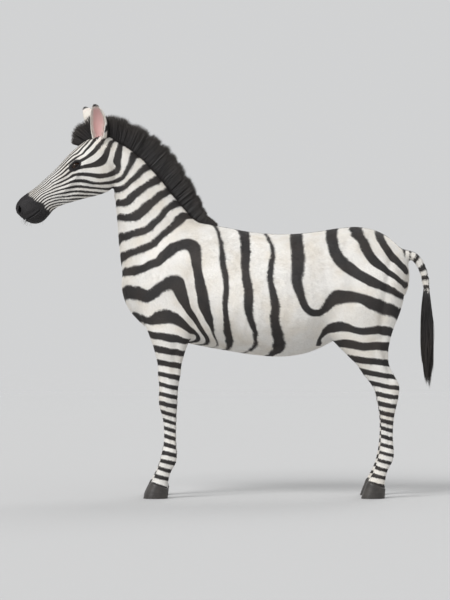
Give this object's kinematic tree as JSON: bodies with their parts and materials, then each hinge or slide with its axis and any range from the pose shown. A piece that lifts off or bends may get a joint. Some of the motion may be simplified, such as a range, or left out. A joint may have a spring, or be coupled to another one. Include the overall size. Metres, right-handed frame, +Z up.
{
  "type": "plains zebra, life-size still model",
  "caption": "Striped African equid standing square in profile with its head high, erect mane, upright ears and hanging tufted tail.",
  "frame": {"origin": "on the ground, under the middle of the bounding box", "axes": "+Z up, the nose points to -X and the tail to +X, the animal's left side faces -Y"},
  "size_m": [1.9794, 0.574, 1.8571],
  "materials": {
    "coat": "short flat-lying hair, white with charcoal stripes, soft sheen",
    "mane_hair": "long stiff hair, charcoal, slightly glossy along the strands",
    "hoof_horn": "dark horn with fine growth rings, dull sheen",
    "eye": "dark brown, wet gloss"
  },
  "bodies": {
    "root": {"head": "coat", "neck": "coat", "trunk": "coat", "foreleg_left": "coat", "foreleg_right": "coat", "hindleg_left": "coat", "hindleg_right": "coat", "ear_left": "coat", "ear_right": "coat", "tail": "coat", "tail_tuft": "mane_hair", "mane": "mane_hair", "fore_hoof_left": "hoof_horn", "fore_hoof_right": "hoof_horn", "hind_hoof_left": "hoof_horn", "hind_hoof_right": "hoof_horn", "eye_left": "eye", "eye_right": "eye"}
  },
  "joints": []
}
